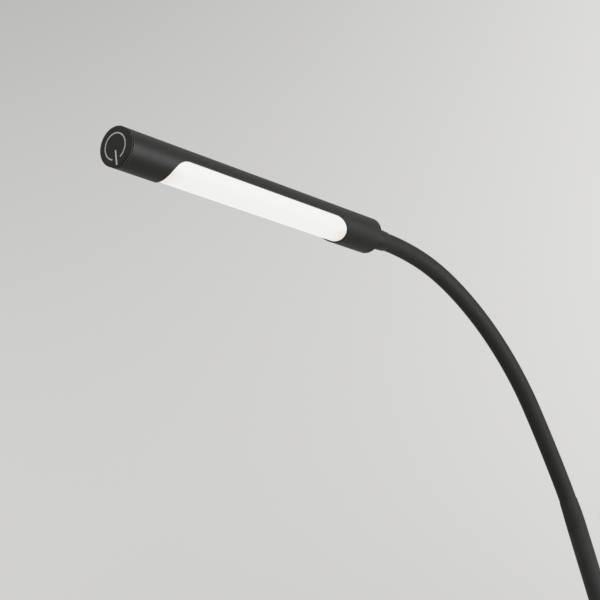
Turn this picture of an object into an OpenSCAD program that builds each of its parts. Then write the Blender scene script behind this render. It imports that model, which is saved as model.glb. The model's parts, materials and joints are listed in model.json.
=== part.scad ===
// Floor lamp with a flexible neck and a slim tubular LED head, in millimetres.
// The origin is the centre of the underside of the base. The pole stands on Z and
// the neck carries the head out towards -X.

/* [Base] */
// Diameter of the base
base_d = 230; // [200:5:280]
// Height of the base cover above the floor
base_h = 20; // [20:1:28]
// Thickness of the pressed base cover
cover_wall = 1.5; // [1:0.25:2]
// Radius of the base cover's top edge
cover_round = 5; // [3:0.5:7]
// Gap between the floor and the cover's lower edge
cover_lift = 1.5; // [1:0.25:2]
// Thickness of the foam pad under the base
pad_t = 2.5; // [2:0.25:3.5]
// Distance from the cover's side in to the edge of the pad
pad_inset = 7; // [4:1:15]
// Thickness of the bottom plate
plate_t = 1.5; // [1:0.25:2]
// Gap between the cast weight and the cover's side
cover_gap = 0.5; // [0.3:0.1:1]
// Thickness of the cast weight's disc
weight_t = 11; // [10:0.5:13]
// Width of the rim that the cast weight stands on
weight_rim = 10; // [7:1:14]
// Wall of the bosses that take the bottom plate's screws
boss_wall = 3; // [2:0.5:4]
// Space round the nut for its spanner
nut_room = 2; // [1.5:0.25:4]
// Iron left above the nut's recess
weight_web = 3.5; // [3:0.25:4]
// Distance from the base's side to the bottom plate's screws
screw_inset = 35; // [20:1:50]
// Diameter of the bottom plate's screws
screw_d = 4; // [3:0.5:5]
// Length of the bottom plate's screws
screw_len = 9; // [7:0.5:11]

/* [Cord inlet] */
// Diameter of the cord that the inlet takes
inlet_bore = 5.2; // [4.5:0.1:6]
// Height of the inlet's axis above the floor
inlet_z = 9.5; // [9.25:0.05:9.75]
// Wall of the inlet's grommet
grommet_wall = 1.4; // [1:0.1:2]
// Width of the grommet's two flanges
grommet_flange = 1.2; // [0.8:0.1:1.6]
// Thickness of the grommet's two flanges
grommet_t = 1.5; // [1:0.1:2]
// Size of the terminal block, along X, across it and up
terminal = [18, 10, 8]; // [6:1:24]
// Distance from the base's side to the terminal block
terminal_inset = 57; // [45:1:60]

/* [Pole] */
// Outer diameter of the pole
pole_d = 16; // [15.6:0.1:19]
// Wall of the pole's tubes
pole_wall = 1.2; // [1:0.1:1.4]
// Length of each of the three tubes
section_len = 380; // [250:5:450]
// Diameter of the threads that join the tubes
thread_d = 10; // [9:0.5:10]
// Length of the plug of each stud inside its tube
plug_len = 16; // [10:1:30]
// Length of each threaded insert
insert_len = 14; // [13:1:24]
// Thickness of the nut under the base
nut_h = 4.6; // [4:0.2:4.8]
// Width of the nut across its flats
nut_flats = 17; // [15:1:17]
// Thickness of the washer under the base
washer_t = 1.5; // [1:0.25:1.5]

/* [Neck] */
// Lengths of the neck's stretches, from the pole up
stretch_len = [6, 34, 66, 66, 66, 42, 32, 8, 27]; // [4:1:80]
// Bend of each stretch in degrees
stretch_bend = [0, 9, 5, 23, 23, 18, 8, 4, 0]; // [0:1:30]
// Outer diameter of the neck's sleeve
neck_d = 14; // [13.4:0.1:14.6]
// Wall of the neck's sleeve
sleeve_wall = 1.3; // [1:0.1:1.5]
// Outer diameter of the neck's links
link_d = 9.4; // [8.4:0.1:9.8]
// Diameter of the bore through the links
link_bore = 5.2; // [4.4:0.1:5.6]
// Radius of the domed end of a link about its joint
dome_r = 8; // [7:0.25:9]
// Running gap between a dome and the hollow over it
link_gap = 0.25; // [0.15:0.05:0.4]
// Distance along the neck from the pole to the first joint
first_joint = 12; // [10:0.5:16]
// Distance along the neck from the last joint to the head
last_joint = 28; // [24:0.5:32]
// Length of the soft cuff at the foot of the neck
cuff_len = 25.5; // [22:0.5:30]
// Radius that the cuff loses from its foot to its lip
cuff_slim = 0.55; // [0.3:0.05:0.6]
// Length of the rounded lip of the cuff
cuff_lip = 3; // [2:0.25:5]
// Wall left at the very edge of the cuff's lip and the collar's tip
lip_wall = 0.15; // [0.1:0.05:0.3]
// Length of the collar where the neck meets the head
collar_len = 22; // [20:0.5:24]
// Diameters of the collar at the head and at its tip
collar_d = [17.3, 15.3]; // [15.2:0.1:18]
// Length of the sloped lip at the collar's tip
collar_lip = 1; // [0.5:0.1:2]
// Thickness of the flange of each neck fitting
flange_t = 2; // [1.5:0.25:3]
// Bore for the lead through studs and fittings
lead_bore = 4.4; // [3.8:0.1:5]
// Diameter of the low-voltage lead
lead_d = 2.6; // [2:0.1:3]
// Radius at which the lead turns inside the base
lead_turn = 4; // [3:0.25:4.5]

/* [Head] */
// Diameter of the head's tube
head_d = 28; // [27:0.5:30]
// Wall of the head's tube
head_wall = 1; // [0.8:0.1:1.2]
// Distance from the free end to the window
window_start = 42; // [41:0.5:60]
// Length of the window along the underside
window_len = 196; // [150:0.5:240]
// Distance from the window to the rear end of the head
rear_len = 39; // [36:0.5:60]
// Height of the window's straight edges below the head's axis
window_drop = 2.4; // [1:0.1:5]
// Radius of the rounded ends of the window seen from the side
window_arc = 18; // [16:1:26]
// Wall of the diffuser
diffuser_wall = 1.5; // [1:0.1:2]
// Height of the carrier's flat face above the head's axis
carrier_up = 3; // [2.5:0.1:3.5]
// Height of the lead's axis above the carrier's flat face
carrier_under = 6.9; // [6.5:0.1:7]
// Width of the channel for the lead along the carrier
channel_w = 3.6; // [3.2:0.1:5]
// Width of the LED board
board_w = 14; // [10:0.5:16]
// Thickness of every circuit board
board_t = 1.2; // [1:0.1:1.6]
// Height, width and length of the dimmer's controller
chip_size = [1.6, 5, 4]; // [1:0.1:6]
// Distance of the dimmer's parts from the edges of its board
part_inset = 0.8; // [0.5:0.1:1]
// Diameter of the dimmer's two capacitors
can_d = 3; // [2.5:0.1:3]
// Height of the dimmer's two capacitors
can_h = 4; // [2:0.1:4]
// Distance between the capacitors
can_pitch = 4; // [3.5:0.1:4.5]
// Distance from the dimmer board's end to the end of the head's lead
lead_back = 4; // [2:0.5:8]
// Number of LED chips
chip_count = 30; // [10:1:36]
// Side of an LED chip
chip_side = 2.8; // [2:0.1:3.5]
// Height of an LED chip
chip_h = 0.7; // [0.5:0.05:1]
// Distance from each end of the diffuser to the LED board
board_inset = 2; // [1:0.25:3]
// Length over which the LED board's lead is soldered to it
solder_len = 4; // [2:0.5:5]
// Clear space left between the inner parts that follow one another
end_gap = 1; // [0.5:0.25:2]
// Thickness of each end block beside the diffuser
block_t = 3; // [2:0.25:4]
// Distance that the diffuser runs on past each end of the window
overlap = 5; // [4:0.25:5.5]
// Thickness of the rear cap
cap_t = 9; // [8:0.5:12]
// Diameter of the thread that holds the neck in the rear cap
cap_thread = 8; // [6:0.5:9]
// Length of that thread
cap_thread_len = 7.5; // [6:0.5:8]
// Distance of the rear cap's screws above the head's axis
cap_screw_up = 6.8; // [6:0.1:7]
// Distance of the rear cap's screws out from the head's middle
cap_screw_out = 8.2; // [8:0.1:8.4]
// Diameter of the rear cap's screws
cap_screw_d = 2.5; // [2:0.1:2.6]
// Diameter of the heads of the rear cap's screws
cap_screw_head = 4.2; // [3.8:0.1:4.4]
// Length that the rear cap's screws reach into the carrier
cap_screw_bite = 6; // [4:0.5:10]
// Diameter of the set screw that holds the rear cap
set_screw_d = 3; // [2:0.5:4]

/* [Button] */
// Thickness of the button's cap
button_t = 2.5; // [2:0.1:3]
// Gap between the button's cap and the head's tube
button_gap = 0.75; // [0.7:0.05:1]
// Travel of the button
button_travel = 0.6; // [0.3:0.05:0.6]
// Radius of the edge of the button's cap
button_round = 0.4; // [0.1:0.05:0.8]
// Diameter of the button's stem
stem_d = 8; // [7:0.25:9]
// Depth of the groove in the stem for its clip
groove_depth = 0.8; // [0.5:0.1:1]
// Distance from the head tube's end in to the guide
guide_inset = 1.75; // [1:0.25:3]
// Thickness of the guide's floor
guide_t = 6; // [5:0.25:7]
// Length of the guide's skirt
skirt_len = 7; // [6.6:0.1:8]
// Wall of the guide's skirt
skirt_wall = 1.7; // [1:0.1:2.5]
// Depth of the spring's pocket in the guide
pocket_depth = 3.5; // [3:0.25:4]
// Space between the spring and the pocket's wall
pocket_play = 1.3; // [0.5:0.1:1.5]
// Mean diameter of the button's spring
spring_d = 11.4; // [11:0.1:12]
// Diameter of the spring's wire
wire_d = 0.8; // [0.6:0.05:0.9]
// Number of turns of the spring
spring_turns = 4; // [3:0.5:5]
// Thickness of the clip on the stem
clip_t = 0.8; // [0.6:0.05:1]
// Diameter of the clip
clip_d = 13; // [12:0.5:15]
// Play between the guide and the clip
clip_play = 0.15; // [0.1:0.05:0.3]
// Gap left between the pressed stem and the switch's face
contact_gap = 0.4; // [0.2:0.1:0.6]
// Side of the switch
switch_side = 6; // [6:0.5:9]
// Height of the switch
switch_h = 3.4; // [3:0.1:3.6]
// Thickness of the switch's back
switch_floor = 0.6; // [0.4:0.1:0.8]
// Gap between the pressed plunger and the switch's back
plunger_gap = 0.2; // [0.1:0.05:0.4]
// Diameter of the switch's plunger
plunger_d = 3.2; // [2.6:0.1:3.6]
// Radius of the ring of the power symbol
symbol_r = 9.15; // [8:0.05:10.5]
// Width of the symbol's line
symbol_line = 0.85; // [0.5:0.05:1]
// Opening of the symbol's ring in degrees
symbol_opening = 44; // [30:1:60]
// Turn of the symbol from straight down in degrees
symbol_turn = 8; // [-20:1:20]
// Inner and outer end of the symbol's bar
symbol_bar = [2.8, 13]; // [0:0.2:13]
// Depth of the symbol's inlay
symbol_depth = 0.4; // [0.2:0.05:0.8]

/* [Fits] */
// Gap around pressed, screwed and seated pieces
seat_gap = 0.05; // [0.02:0.01:0.08]
// Gap around pieces that slide
run_gap = 0.06; // [0.03:0.01:0.09]
// Gap around soft and clipped pieces
soft_gap = 0.1; // [0.05:0.05:0.2]

/* [Hidden] */
$fn = 96;
// Overshoot of a cutting shape past the solid that it cuts
over = 1;

// Base heights, from the floor up
weight_z = pad_t + plate_t;
weight_top = base_h - cover_wall;
disc_z = weight_top - weight_t;
recess_z = weight_top - weight_web;
nut_z = recess_z - washer_t - nut_h;
cover_r = base_d / 2;
weight_r = cover_r - cover_wall - cover_gap;
screw_ring = cover_r - screw_inset;
terminal_x = cover_r - terminal_inset;
nut_r = nut_flats / 2 / cos(30);
recess_r = nut_r + nut_room;
boss_r = screw_d / 2 + boss_wall;
screw_angles = [60, 180, 300];
inlet_r = inlet_bore / 2;
barrel_r = inlet_r + grommet_wall;
flange_r = barrel_r + grommet_flange;
// The cover's side curves back by this much across the grommet's flange
flange_sag = flange_r * flange_r / cover_r;
channel_top = inlet_z + flange_r + soft_gap;
lead_z = weight_z + lead_d / 2 + soft_gap;

// Pole
pole_r = pole_d / 2;
bore_r = pole_r - pole_wall;
thread_r = thread_d / 2;
stud_len = base_h - nut_z;
pole_top = base_h + 3 * section_len;
lead_r = lead_d / 2;

// Neck
neck_path = [for (i = [0 : len(stretch_len) - 1]) [stretch_len[i], stretch_bend[i]]];
neck_len = total(neck_path);
joints = 16;
joint_pitch = (neck_len - first_joint - last_joint) / (joints - 1);
neck_r = neck_d / 2;
sleeve_bore = neck_r - sleeve_wall;
link_r = link_d / 2;
stub_r = sleeve_bore - soft_gap;
socket_r = dome_r + link_gap;
// Sides of the neck's bent pieces, and by how much their corners stand out
neck_sides = 28;
corner = 1 / cos(180 / neck_sides);
cuff_bore = (neck_r + soft_gap) * corner;
cuff_edge = cuff_bore + lip_wall;

// Head, measured along its axis from the face of the button
head_r = head_d / 2;
tube_r = head_r - head_wall;
inner_r = tube_r - soft_gap;
tube_start = button_t + button_gap;
window_end = window_start + window_len;
head_len = window_end + rear_len;
window_rise = head_r - window_drop;
window_reach = sqrt(window_arc * window_arc - (window_arc - window_rise) * (window_arc - window_rise));
diffuser_start = window_start - overlap;
diffuser_end = window_end + overlap;
cap_start = head_len - cap_t;
lead_up = carrier_up + carrier_under;
carrier_end = cap_start - lead_up - end_gap;
lead_floor = lead_up - lead_r;
led_face = carrier_up - board_t;

// Button, measured from its face
guide_start = tube_start + guide_inset;
guide_end = guide_start + guide_t;
switch_base = guide_end + skirt_len;
switch_face = switch_base - switch_h;
stem_r = stem_d / 2;
clip_start = guide_end + clip_play;
stem_end = switch_face - button_travel - contact_gap;
groove_r = stem_r - groove_depth;
pocket_r = spring_d / 2 + wire_d / 2 + pocket_play;
spring_floor = guide_start + pocket_depth;
dimmer_start = switch_base + board_t;
dimmer_end = diffuser_start - block_t - end_gap;
parts_up = lead_floor - board_t;

// Length of the stretches of a path from number i on
function total(rows, i = 0) = i == len(rows) ? 0 : rows[i][0] + total(rows, i + 1);
// Point and lean after a stretch that starts at p with lean a
function after(p, a, length, bend) = [
    abs(bend) < 0.0001
    ? p + length * [-sin(a), 0, cos(a)]
    : p + length * 180 / (PI * bend) * [cos(a + bend) - cos(a), 0, sin(a + bend) - sin(a)],
    a + bend];
// Point and lean at the distance s along a path of stretches that starts at p with lean a
function walk(rows, p, a, s, i = 0) =
    i == len(rows) - 1 || s <= rows[i][0]
    ? after(p, a, s, rows[i][1] * s / rows[i][0])
    : let (next = after(p, a, rows[i][0], rows[i][1]))
        walk(rows, next[0], next[1], s - rows[i][0], i + 1);
function on_path(s) = walk(neck_path, [0, 0, pole_top], 0, s);
function joint_at(k) = on_path(first_joint + (k - 1) * joint_pitch)[0];
// Distances from a to b in a number of equal steps
function spread(a, b, steps) = [for (i = [0 : steps]) a + (b - a) * i / steps];
// Ring of points of radius r square to a path, at a place given as point and lean
function ring_at(place, r, sides) = [
    for (j = [0 : sides - 1])
        let (t = 360 * j / sides, a = place[1])
        place[0] + r * [cos(a) * cos(t), sin(t), sin(a) * cos(t)]];
// Radius of the cuff at the distance u from the pole
function cuff_r(u) =
    let (side = pole_r - cuff_slim * pow(min(u / (cuff_len - cuff_lip), 1), 2))
    let (v = max(0, u - cuff_len + cuff_lip) / cuff_lip)
    cuff_edge + (side - cuff_edge) * sqrt(1 - min(v * v, 1));

module on_neck(s) {
    place = on_path(s);
    translate(place[0])
        rotate([0, -place[1], 0])
            children();
}

// Places a shape in the head: Z runs from the button's face to the neck and X points up
module in_head() {
    on_neck(neck_len)
        translate([0, 0, head_len])
            rotate([180, 0, 0])
                children();
}

// Tube from two sets of rings of points, the outer skin and the bore
module ringed_tube(outer, inner) {
    m = len(outer);
    n = len(outer[0]);
    points = [for (ring = concat(outer, inner)) each ring];
    side = [for (i = [0 : m - 2], j = [0 : n - 1]) [i, j, (j + 1) % n]];
    skin = [for (q = side) each [
        [q[0] * n + q[1], (q[0] + 1) * n + q[2], q[0] * n + q[2]],
        [q[0] * n + q[1], (q[0] + 1) * n + q[1], (q[0] + 1) * n + q[2]]]];
    core = [for (f = skin) [f[0] + m * n, f[2] + m * n, f[1] + m * n]];
    ends = [for (j = [0 : n - 1]) let (k = (j + 1) % n, t = (m - 1) * n) each [
        [j, k, m * n + k], [j, m * n + k, m * n + j],
        [t + j, t + m * n + k, t + k], [t + j, t + m * n + j, t + m * n + k]]];
    polyhedron(points = points, faces = concat(skin, core, ends), convexity = 6);
}

// Solid tube through rings of points, closed at both ends
module ringed_rod(rings) {
    m = len(rings);
    n = len(rings[0]);
    skin = [for (i = [0 : m - 2], j = [0 : n - 1]) let (k = (j + 1) % n) each [
        [i * n + j, (i + 1) * n + k, i * n + k],
        [i * n + j, (i + 1) * n + j, (i + 1) * n + k]]];
    first = [for (j = [0 : n - 1]) j];
    last = [for (j = [n - 1 : -1 : 0]) (m - 1) * n + j];
    polyhedron(points = [for (r = rings) each r], faces = concat(skin, [first, last]), convexity = 10);
}

// Disc from z0 to z1 with a rounded top edge
module rounded_disc(r, z0, z1, edge) {
    rotate_extrude() {
        translate([0, z0])
            square([r - edge, z1 - z0]);
        translate([0, z0])
            square([r, z1 - z0 - edge]);
        translate([r - edge, z1 - edge])
            intersection() {
                circle(r = edge);
                square(edge + over);
            }
    }
}

module ring(r_out, r_in, h) {
    difference() {
        cylinder(h = h, r = r_out);
        translate([0, 0, -over])
            cylinder(h = h + 2 * over, r = r_in);
    }
}

// Screw with a countersunk head at the origin, its shank running up
module countersunk(d, head_d, length) {
    cone_h = (head_d - d) / 2;
    cylinder(h = cone_h, r1 = head_d / 2, r2 = d / 2);
    translate([0, 0, cone_h])
        cylinder(h = length - cone_h, r = d / 2);
}

module base_cover() {
    color("#2c2c2b")
        difference() {
            rounded_disc(cover_r, cover_lift, base_h, cover_round);
            rounded_disc(cover_r - cover_wall, cover_lift - over, weight_top, cover_round - cover_wall);
            translate([0, 0, weight_top - over])
                cylinder(h = cover_wall + 2 * over, r = thread_r + soft_gap);
            translate([cover_r - 2 * cover_wall - over, 0, inlet_z])
                rotate([0, 90, 0])
                    cylinder(h = 2 * cover_wall + 2 * over, r = barrel_r + seat_gap);
        }
}

module base_weight() {
    color("#4a4a48")
        difference() {
            union() {
                difference() {
                    rounded_disc(weight_r, weight_z, weight_top, cover_round - cover_wall);
                    translate([0, 0, weight_z - over])
                        cylinder(h = disc_z - weight_z + over, r = weight_r - weight_rim);
                }
                for (a = screw_angles)
                    rotate([0, 0, a])
                        translate([screw_ring, 0, weight_z])
                            cylinder(h = disc_z - weight_z + over, r = boss_r);
            }
            cylinder(h = weight_top + over, r = thread_r + soft_gap);
            cylinder(h = recess_z, r = recess_r);
            for (a = screw_angles)
                rotate([0, 0, a])
                    translate([screw_ring, 0, 0])
                        cylinder(h = pad_t + screw_len + over, r = screw_d / 2 + seat_gap);
            translate([terminal_x - over, -terminal[1] / 2 - over, 0])
                cube([terminal[0] + 2 * over, terminal[1] + 2 * over, weight_z + terminal[2] + over]);
            translate([terminal_x, -flange_r - soft_gap, 0])
                cube([cover_r - terminal_x, 2 * (flange_r + soft_gap), channel_top]);
        }
}

module base_plate() {
    color("#8d8f8f")
        difference() {
            translate([0, 0, pad_t])
                cylinder(h = plate_t, r = weight_r);
            for (a = screw_angles)
                rotate([0, 0, a])
                    translate([screw_ring, 0, pad_t])
                        plate_hole();
        }
}

// Countersink right through the bottom plate
module plate_hole() {
    cylinder(h = plate_t, r1 = screw_d / 2 + plate_t, r2 = screw_d / 2 + seat_gap);
    translate([0, 0, plate_t - over])
        cylinder(h = 2 * over, r = screw_d / 2 + seat_gap);
    translate([0, 0, -over])
        cylinder(h = over, r = screw_d / 2 + plate_t);
}

module base_pad() {
    color("#1d1d1d")
        cylinder(h = pad_t, r = cover_r - pad_inset);
}

module base_screws() {
    color("#b9bcbd")
        for (a = screw_angles)
            rotate([0, 0, a])
                translate([screw_ring, 0, pad_t + seat_gap])
                    countersunk(screw_d, screw_d + 2 * (plate_t - seat_gap), screw_len);
}

module cord_grommet() {
    outer = cover_r + seat_gap;
    inner = cover_r - cover_wall - flange_sag - seat_gap;
    color("#222222")
        translate([0, 0, inlet_z])
            rotate([0, 90, 0])
                difference() {
                    union() {
                        translate([0, 0, outer])
                            cylinder(h = grommet_t, r = flange_r);
                        translate([0, 0, inner - grommet_t])
                            cylinder(h = grommet_t, r = flange_r);
                        translate([0, 0, inner - grommet_t])
                            cylinder(h = outer - inner + 2 * grommet_t, r = barrel_r);
                    }
                    translate([0, 0, inner - grommet_t - over])
                        cylinder(h = outer - inner + 2 * grommet_t + 2 * over, r = inlet_r);
                }
}

// Two-way block that joins the supply cord to the pole's lead, with its screw holes
module terminal_block() {
    color("#d8d4c8")
        translate([terminal_x, 0, weight_z])
            difference() {
                translate([0, -terminal[1] / 2, 0])
                    cube(terminal);
                for (side = [-1, 1])
                    translate([terminal[0] / 2, side * terminal[1] / 4, terminal[2] / 2])
                        cylinder(h = terminal[2], r = terminal[1] / 8);
            }
}

module pole_washer() {
    color("#b9bcbd")
        translate([0, 0, recess_z - washer_t])
            ring(nut_r, thread_r + soft_gap, washer_t);
}

module pole_nut() {
    color("#b9bcbd")
        translate([0, 0, nut_z])
            difference() {
                cylinder(h = nut_h, r = nut_r, $fn = 6);
                translate([0, 0, -over])
                    cylinder(h = nut_h + 2 * over, r = thread_r);
            }
}

module pole_tube(k) {
    color("#2c2c2b")
        translate([0, 0, base_h + k * section_len])
            ring(pole_r, bore_r, section_len);
}

module pole_lower() {
    pole_tube(0);
}

module pole_middle() {
    pole_tube(1);
}

module pole_upper() {
    pole_tube(2);
}

module pole_studs() {
    color("#9fa2a3")
        for (k = [0 : 2])
            translate([0, 0, base_h + k * section_len - stud_len])
                difference() {
                    union() {
                        cylinder(h = stud_len + plug_len, r = thread_r - seat_gap);
                        translate([0, 0, stud_len])
                            cylinder(h = plug_len, r = bore_r - seat_gap);
                    }
                    translate([0, 0, -over])
                        cylinder(h = stud_len + plug_len + 2 * over, r = lead_bore / 2);
                }
}

module pole_inserts() {
    color("#9fa2a3")
        for (k = [1 : 3])
            translate([0, 0, base_h + k * section_len - insert_len])
                ring(bore_r - seat_gap, thread_r, insert_len);
}

module pole_lead() {
    color("#e3e0d8") {
        translate([0, 0, lead_z + lead_turn])
            cylinder(h = pole_top - lead_z - lead_turn, r = lead_r);
        translate([lead_turn, 0, lead_z + lead_turn])
            rotate([90, 0, 0])
                rotate([0, 0, 180])
                    rotate_extrude(angle = 90)
                        translate([lead_turn, 0])
                            circle(r = lead_r);
        translate([lead_turn, 0, lead_z])
            rotate([0, 90, 0])
                cylinder(h = terminal_x - lead_turn, r = lead_r);
    }
}

// Threaded end of the neck in the pole, with the dome of the first joint
module neck_lower_fitting() {
    top = joint_at(1);
    color("#9fa2a3")
        difference() {
            union() {
                translate([0, 0, pole_top - stud_len])
                    cylinder(h = stud_len + flange_t, r = thread_r - seat_gap);
                translate([0, 0, pole_top])
                    cylinder(h = flange_t, r = bore_r - seat_gap);
                intersection() {
                    translate([0, 0, pole_top])
                        cylinder(h = top[2] - pole_top + dome_r, r = link_r);
                    translate(top)
                        sphere(r = dome_r);
                }
                translate([0, 0, pole_top])
                    cylinder(h = top[2] - pole_top, r = link_r);
            }
            translate([0, 0, pole_top - stud_len - over])
                cylinder(h = stud_len + first_joint + dome_r + 2 * over, r = lead_bore / 2);
        }
}

// Link between joint k and the next one: hollow below, domed above, bored through
module neck_link(k) {
    foot = joint_at(k);
    head = joint_at(k + 1);
    span = norm(head - foot);
    lean = atan2(foot[0] - head[0], head[2] - foot[2]);
    color(k % 2 == 0 ? "#6f7375" : "#8b8f91")
        translate(foot)
            rotate([0, -lean, 0])
                difference() {
                    union() {
                        cylinder(h = span, r = link_r);
                        translate([0, 0, span])
                            intersection() {
                                sphere(r = dome_r);
                                cylinder(h = dome_r, r = link_r);
                            }
                    }
                    sphere(r = socket_r);
                    translate([0, 0, -over])
                        cylinder(h = span + dome_r + 2 * over, r = link_bore / 2);
                }
}

// Threaded end of the neck in the head, hollowed for the last joint's dome
module neck_upper_fitting() {
    color("#9fa2a3")
        difference() {
            in_head()
                union() {
                    translate([0, 0, head_len])
                        cylinder(h = last_joint, r = link_r);
                    translate([0, 0, head_len])
                        cylinder(h = flange_t, r = bore_r - seat_gap);
                    translate([0, 0, head_len - cap_thread_len])
                        cylinder(h = cap_thread_len, r = cap_thread / 2 - seat_gap);
                }
            translate(joint_at(joints))
                sphere(r = socket_r);
            in_head()
                translate([0, 0, head_len - cap_thread_len - over])
                    cylinder(h = cap_thread_len + last_joint + 2 * over, r = lead_bore / 2);
        }
}

module neck_lower_cuff() {
    tip = cuff_len - cuff_lip;
    stops = concat(spread(0, tip, 8), spread(tip + cuff_lip / 6, cuff_len, 5));
    color("#262625")
        ringed_tube(
            [for (u = stops) ring_at(on_path(u), cuff_r(u), neck_sides)],
            [for (u = stops) ring_at(on_path(u), cuff_bore, neck_sides)]);
}

// Stiff collar on the last, straight stretch of the neck
module neck_upper_collar() {
    edge = neck_r + soft_gap;
    color("#2c2c2b")
        in_head()
            translate([0, 0, head_len])
                difference() {
                    union() {
                        cylinder(h = collar_len - collar_lip, r1 = collar_d[0] / 2, r2 = collar_d[1] / 2);
                        translate([0, 0, collar_len - collar_lip])
                            cylinder(h = collar_lip, r1 = collar_d[1] / 2, r2 = edge + lip_wall);
                    }
                    translate([0, 0, -over])
                        cylinder(h = collar_len + 2 * over, r = edge);
                }
}

module neck_sleeve() {
    stops = spread(flange_t, neck_len - flange_t, 58);
    color("#2a2a29")
        ringed_tube(
            [for (s = stops) ring_at(on_path(s), neck_r, neck_sides)],
            [for (s = stops) ring_at(on_path(s), sleeve_bore * corner, neck_sides)]);
}

module neck_lead() {
    color("#e3e0d8")
        ringed_rod([for (s = spread(0, neck_len, 58)) ring_at(on_path(s), lead_r, 12)]);
}

// The window is a long slot with round ends, cut straight across the tube
module head_tube() {
    color("#2c2c2b")
        in_head()
            difference() {
                translate([0, 0, tube_start])
                    ring(head_r, tube_r, head_len - tube_start);
                window_slot();
                translate([0, 0, head_len - cap_t / 2])
                    rotate([0, 90, 0])
                        cylinder(h = head_r + over, r = set_screw_d / 2 + soft_gap);
            }
}

module window_slot() {
    middle = -window_drop - window_arc;
    first = window_start + window_reach;
    last = window_end - window_reach;
    for (t = [first, last])
        translate([middle, head_r + over, t])
            rotate([90, 0, 0])
                cylinder(h = 2 * head_r + 2 * over, r = window_arc);
    translate([middle - window_arc, -head_r - over, first])
        cube([2 * window_arc, 2 * head_r + 2 * over, last - first]);
}

module rear_cap() {
    color("#2c2c2b")
        in_head()
            difference() {
                union() {
                    translate([0, 0, cap_start])
                        cylinder(h = cap_t, r = inner_r);
                    for (side = [-1, 1])
                        translate([cap_screw_up, side * cap_screw_out, carrier_end])
                            cylinder(h = cap_start - carrier_end, r = cap_screw_head / 2);
                }
                translate([0, 0, cap_start - over])
                    cylinder(h = cap_t + 2 * over, r = cap_thread / 2);
                for (side = [-1, 1])
                    translate([cap_screw_up, side * cap_screw_out, head_len])
                        rotate([180, 0, 0])
                            cap_screw_hole();
                translate([inner_r - set_screw_d - over, 0, head_len - cap_t / 2])
                    rotate([0, 90, 0])
                        cylinder(h = set_screw_d + 2 * over, r = set_screw_d / 2 + seat_gap);
            }
}

module cap_screw_hole() {
    cone_h = (cap_screw_head - cap_screw_d) / 2;
    cylinder(h = cone_h + seat_gap, r1 = cap_screw_head / 2 + seat_gap, r2 = cap_screw_d / 2);
    translate([0, 0, -over])
        cylinder(h = head_len - carrier_end + 2 * over, r = cap_screw_d / 2 + seat_gap);
    translate([0, 0, -over])
        cylinder(h = over, r = cap_screw_head / 2 + seat_gap);
}

module rear_cap_screws() {
    color("#9fa2a3")
        in_head()
            for (side = [-1, 1])
                translate([cap_screw_up, side * cap_screw_out, head_len - seat_gap])
                    rotate([180, 0, 0])
                        countersunk(cap_screw_d, cap_screw_head, head_len - carrier_end + cap_screw_bite);
}

// Grub screw with a six-sided socket, seated in the rear cap through the tube's top
module rear_set_screw() {
    color("#9fa2a3")
        in_head()
            translate([inner_r - set_screw_d, 0, head_len - cap_t / 2])
                rotate([0, 90, 0])
                    difference() {
                        cylinder(h = set_screw_d, r = set_screw_d / 2);
                        translate([0, 0, set_screw_d / 2])
                            cylinder(h = set_screw_d, r = set_screw_d / 4, $fn = 6);
                    }
}

// Aluminium section above the LEDs, with a channel for the lead along its top
module led_carrier() {
    color("#c9cbcc")
        in_head()
            translate([0, 0, diffuser_start])
                difference() {
                    intersection() {
                        cylinder(h = carrier_end - diffuser_start, r = inner_r);
                        translate([carrier_up, -head_r, -over])
                            cube([head_r, head_d, head_len]);
                    }
                    translate([lead_floor - soft_gap, -channel_w / 2, -over])
                        cube([head_r, channel_w, head_len]);
                    for (side = [-1, 1])
                        translate([cap_screw_up, side * cap_screw_out, carrier_end - diffuser_start + over])
                            rotate([180, 0, 0])
                                cylinder(h = cap_screw_bite + 2 * over, r = cap_screw_d / 2 + seat_gap);
                }
}

module led_board() {
    color("#f2f2ee")
        in_head()
            translate([led_face, -board_w / 2, diffuser_start + board_inset])
                cube([board_t, board_w, diffuser_end - diffuser_start - 2 * board_inset]);
}

module led_chips() {
    pitch = (window_len - 2 * chip_side) / chip_count;
    color("#f6e27a")
        in_head()
            for (i = [0 : chip_count - 1])
                translate([led_face - chip_h, -chip_side / 2, window_start + chip_side + (i + 0.5) * pitch])
                    translate([0, 0, -chip_side / 2])
                        cube([chip_h, chip_side, chip_side]);
}

// Opal shell that shows through the window, behind the tube's wall
module diffuser() {
    length = diffuser_end - diffuser_start;
    color("#fbf9f2")
        in_head()
            translate([0, 0, diffuser_start])
                difference() {
                    ring(inner_r, inner_r - diffuser_wall, length);
                    translate([carrier_up - soft_gap, -head_r, -over])
                        cube([head_d, head_d, length + 2 * over]);
                }
}

// Closes the lit space at the button's end, notched for both leads
module front_end_block() {
    color("#3a3a3a")
        in_head()
            translate([0, 0, diffuser_start - block_t])
                difference() {
                    cylinder(h = block_t, r = inner_r);
                    translate([lead_floor - soft_gap, -channel_w / 2, -over])
                        cube([head_r, channel_w, block_t + 2 * over]);
                    translate([led_face - lead_r, 0, -over])
                        cylinder(h = block_t + 2 * over, r = lead_r + soft_gap);
                }
}

module rear_end_block() {
    color("#3a3a3a")
        in_head()
            translate([0, 0, diffuser_end])
                difference() {
                    cylinder(h = block_t, r = inner_r);
                    translate([carrier_up - soft_gap, -head_r, -over])
                        cube([head_d, head_d, block_t + 2 * over]);
                }
}

// Lead along a path of stretches, with a ring of points at each of the stops
module lead_path(rows, from, stops) {
    color("#e3e0d8")
        in_head()
            ringed_rod([for (s = stops) ring_at(walk(rows, from, 180, s), lead_r, 12)]);
}

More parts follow.
